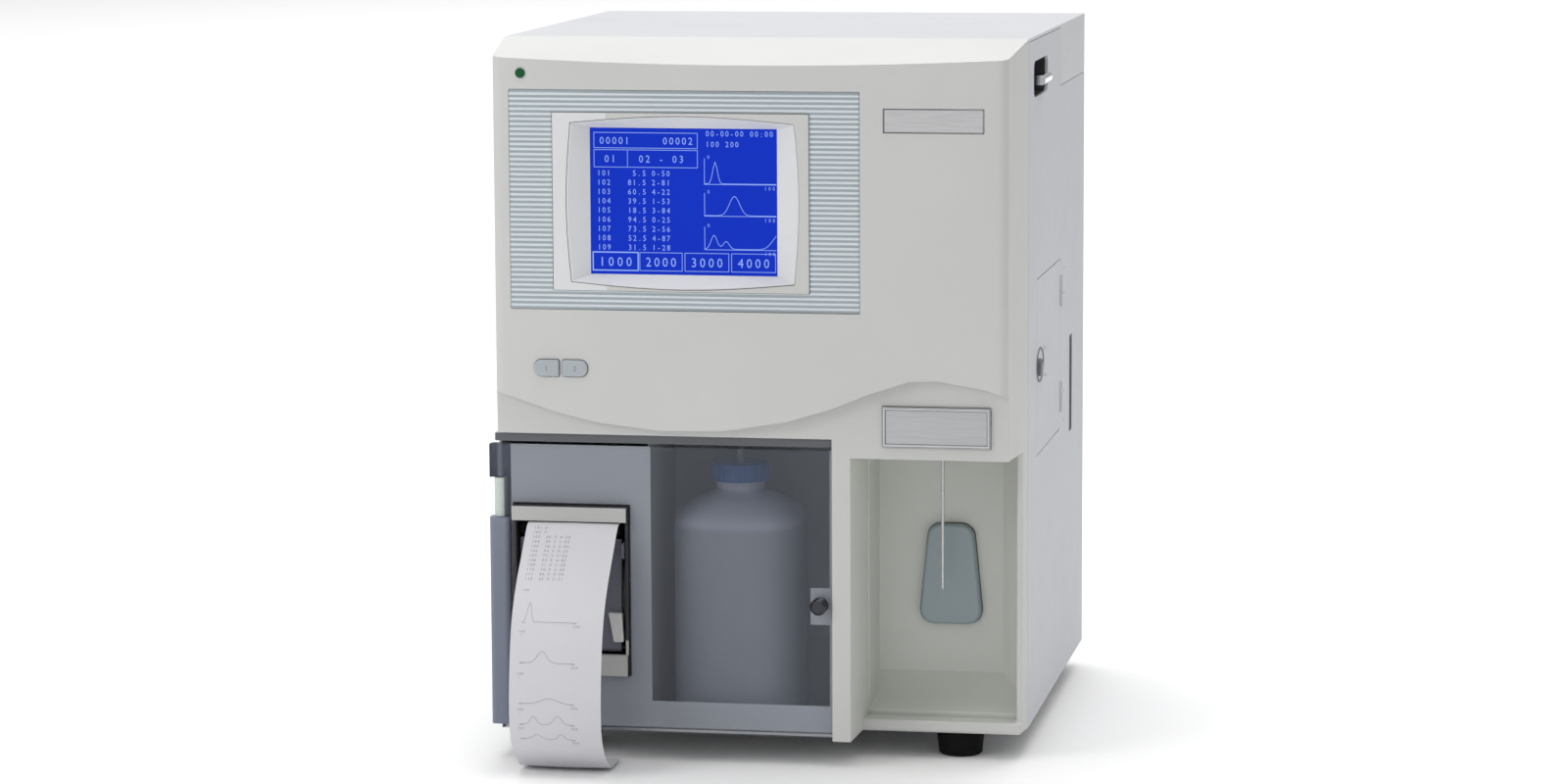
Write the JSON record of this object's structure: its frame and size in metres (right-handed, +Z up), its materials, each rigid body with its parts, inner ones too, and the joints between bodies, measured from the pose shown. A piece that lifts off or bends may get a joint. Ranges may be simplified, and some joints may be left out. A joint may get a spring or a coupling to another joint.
{
  "type": "hematology analyzer",
  "caption": "Bench-top blood analyzer with a recessed screen, a smoked door over a reagent bottle and printer, and an open sample bay with a lifting needle.",
  "frame": {"origin": "under the middle of the outline, on the bench", "axes": "+Z up, +X to the machine's right as seen from the front, +Y from the front to the rear"},
  "size_m": [0.3366, 0.4285, 0.4485],
  "materials": {
    "front_cover": "fine satin moulding",
    "top_cover": "satin paint",
    "left_side_panel": "satin paint",
    "right_side_panel": "satin paint",
    "rear_panel": "satin paint",
    "base_plate": "bare sheet",
    "partition_plate": "bare sheet",
    "stripe_panel": "fine ribs",
    "screen_bezel": "fine satin moulding",
    "screen_glass": "lit display glass",
    "lcd_module": "bare sheet",
    "status_led": "green lens",
    "badge_plate": "fine satin moulding",
    "name_plate": "brushed",
    "sample_bay_liner": "satin moulding",
    "compartment_liner": "satin moulding",
    "door_hinge": "fine satin moulding",
    "door_catch": "bare sheet",
    "printer_frame": "fine satin moulding",
    "paper_strip": "thermal paper",
    "foot_front_left": "matt rubber",
    "foot_front_right": "matt rubber",
    "foot_rear_left": "matt rubber",
    "foot_rear_right": "matt rubber",
    "lever_recess": "black moulding",
    "power_inlet": "black moulding",
    "fan_housing": "black moulding",
    "main_board": "circuit board",
    "power_supply": "bare sheet",
    "measuring_chamber": "clear plastic",
    "syringe_barrel": "clear plastic",
    "lift_frame": "bare sheet",
    "guide_rod_left": "ground steel",
    "guide_rod_right": "ground steel",
    "lift_belt": "matt rubber",
    "lift_motor": "black moulding",
    "rinse_block": "clear plastic",
    "reagent_bottle": "translucent white",
    "bottle_tube": "clear plastic",
    "smoked_door": "smoked clear sheet",
    "door_mask": "grey",
    "door_knob": "polished",
    "key_left": "pale blue-grey",
    "key_right": "pale blue-grey",
    "start_plate": "blue-grey",
    "probe_needle": "ground steel",
    "probe_carriage": "black moulding",
    "drive_pulley": "ground steel",
    "idler_pulley": "ground steel",
    "paper_lid": "grey",
    "release_lever": "pale blue-grey",
    "platen_roller": "matt rubber",
    "paper_roll": "thermal paper",
    "side_hatch": "satin paint",
    "hatch_latch": "ground steel",
    "power_lever": "polished",
    "fan_rotor": "black moulding",
    "bottle_cap": "ribbed blue moulding",
    "syringe_plunger": "ground steel",
    "power_rocker": "black moulding"
  },
  "bodies": {
    "case": {"front_cover": "front_cover", "top_cover": "top_cover", "left_side_panel": "left_side_panel", "right_side_panel": "right_side_panel", "rear_panel": "rear_panel", "base_plate": "base_plate", "partition_plate": "partition_plate", "stripe_panel": "stripe_panel", "screen_bezel": "screen_bezel", "screen_glass": "screen_glass", "lcd_module": "lcd_module", "status_led": "status_led", "badge_plate": "badge_plate", "name_plate": "name_plate", "sample_bay_liner": "sample_bay_liner", "compartment_liner": "compartment_liner", "door_hinge": "door_hinge", "door_catch": "door_catch", "printer_frame": "printer_frame", "paper_strip": "paper_strip", "foot_front_left": "foot_front_left", "foot_front_right": "foot_front_right", "foot_rear_left": "foot_rear_left", "foot_rear_right": "foot_rear_right", "lever_recess": "lever_recess", "power_inlet": "power_inlet", "fan_housing": "fan_housing", "main_board": "main_board", "power_supply": "power_supply", "measuring_chamber": "measuring_chamber", "syringe_barrel": "syringe_barrel", "lift_frame": "lift_frame", "guide_rod_left": "guide_rod_left", "guide_rod_right": "guide_rod_right", "lift_belt": "lift_belt", "lift_motor": "lift_motor", "rinse_block": "rinse_block", "reagent_bottle": "reagent_bottle", "bottle_tube": "bottle_tube"},
    "door": {"smoked_door": "smoked_door", "door_mask": "door_mask"},
    "knob": {"door_knob": "door_knob"},
    "left_key": {"key_left": "key_left"},
    "right_key": {"key_right": "key_right"},
    "start": {"start_plate": "start_plate"},
    "probe": {"probe_needle": "probe_needle", "probe_carriage": "probe_carriage"},
    "drive": {"drive_pulley": "drive_pulley"},
    "idler": {"idler_pulley": "idler_pulley"},
    "lid": {"paper_lid": "paper_lid"},
    "head_lever": {"release_lever": "release_lever"},
    "platen": {"platen_roller": "platen_roller"},
    "roll": {"paper_roll": "paper_roll"},
    "hatch": {"side_hatch": "side_hatch"},
    "latch": {"hatch_latch": "hatch_latch"},
    "toggle": {"power_lever": "power_lever"},
    "fan": {"fan_rotor": "fan_rotor"},
    "cap": {"bottle_cap": "bottle_cap"},
    "plunger": {"syringe_plunger": "syringe_plunger"},
    "rocker": {"power_rocker": "power_rocker"}
  },
  "joints": [
    {"name": "door_hinge", "type": "hinge", "parent": "case", "child": "door", "pos_m": [-0.16, -0.1491, 0.1017], "axis": [0, 0, -1], "range_deg": [0, 100], "deforming": ["paper_strip"]},
    {"name": "door_knob_turn", "type": "hinge", "parent": "door", "child": "knob", "pos_m": [0.04253, -0.1521, 0.1017], "axis": [0, -1, 0], "range_deg": [0, 90]},
    {"name": "left_key_press", "type": "slide", "parent": "case", "child": "left_key", "axis": [0, 1, 0], "range_m": [0, 0.0015], "stiffness_N_per_m": 600},
    {"name": "right_key_press", "type": "slide", "parent": "case", "child": "right_key", "axis": [0, 1, 0], "range_m": [0, 0.0015], "stiffness_N_per_m": 600},
    {"name": "start_press", "type": "slide", "parent": "case", "child": "start", "axis": [0, 1, 0], "range_m": [0, 0.003], "stiffness_N_per_m": 500},
    {"name": "probe_lift", "type": "slide", "parent": "case", "child": "probe", "axis": [0, 0, 1], "range_m": [0, 0.07]},
    {"name": "drive_pulley_spin", "type": "hinge", "parent": "case", "child": "drive", "pos_m": [0.1104, -0.0646, 0.216], "axis": [0, 1, 0], "range_deg": [0, 480]},
    {"name": "idler_pulley_spin", "type": "hinge", "parent": "case", "child": "idler", "pos_m": [0.1104, -0.0646, 0.334], "axis": [0, 1, 0], "range_deg": [0, 480]},
    {"name": "paper_lid_hinge", "type": "hinge", "parent": "case", "child": "lid", "pos_m": [-0.1118, -0.1466, 0.0706], "axis": [1, 0, 0], "range_deg": [0, 40]},
    {"name": "release_lever_turn", "type": "hinge", "parent": "case", "child": "head_lever", "pos_m": [-0.0804, -0.1436, 0.1325], "axis": [1, 0, 0], "range_deg": [0, 30]},
    {"name": "paper_roll_spin", "type": "hinge", "parent": "case", "child": "roll", "pos_m": [-0.1118, -0.1091, 0.098], "axis": [1, 0, 0], "continuous": true},
    {"name": "platen_spin", "type": "hinge", "parent": "case", "child": "platen", "pos_m": [-0.1118, -0.1416, 0.1446], "axis": [1, 0, 0], "continuous": true},
    {"name": "side_hatch_hinge", "type": "hinge", "parent": "case", "child": "hatch", "pos_m": [0.165, 0.0674, 0.239], "axis": [0, 0, 1], "range_deg": [0, 120]},
    {"name": "hatch_latch_turn", "type": "hinge", "parent": "hatch", "child": "latch", "pos_m": [0.165, -0.0506, 0.239], "axis": [-1, 0, 0], "range_deg": [0, 90]},
    {"name": "power_lever_turn", "type": "hinge", "parent": "case", "child": "toggle", "pos_m": [0.1542, -0.0611, 0.4205], "axis": [0, -1, 0], "range_deg": [0, 20]},
    {"name": "fan_spin", "type": "hinge", "parent": "case", "child": "fan", "pos_m": [-0.085, 0.1819, 0.33], "axis": [0, 1, 0], "continuous": true},
    {"name": "bottle_cap_turn", "type": "hinge", "parent": "case", "child": "cap", "pos_m": [-0.01776, -0.0951, 0.1791], "axis": [0, 0, 1], "range_deg": [0, 360]},
    {"name": "syringe_draw", "type": "slide", "parent": "case", "child": "plunger", "axis": [0, 0, -1], "range_m": [0, 0.045]},
    {"name": "power_rocker_tip", "type": "hinge", "parent": "case", "child": "rocker", "pos_m": [-0.12, 0.1999, 0.088], "axis": [1, 0, 0], "range_deg": [0, 14]}
  ],
  "couplings": [
    {"joint": "drive_pulley_spin", "follows": "probe_lift", "rad_per_m": 112.36},
    {"joint": "idler_pulley_spin", "follows": "probe_lift", "rad_per_m": 112.36},
    {"joint": "platen_spin", "follows": "paper_roll_spin", "ratio": 4.2}
  ]
}
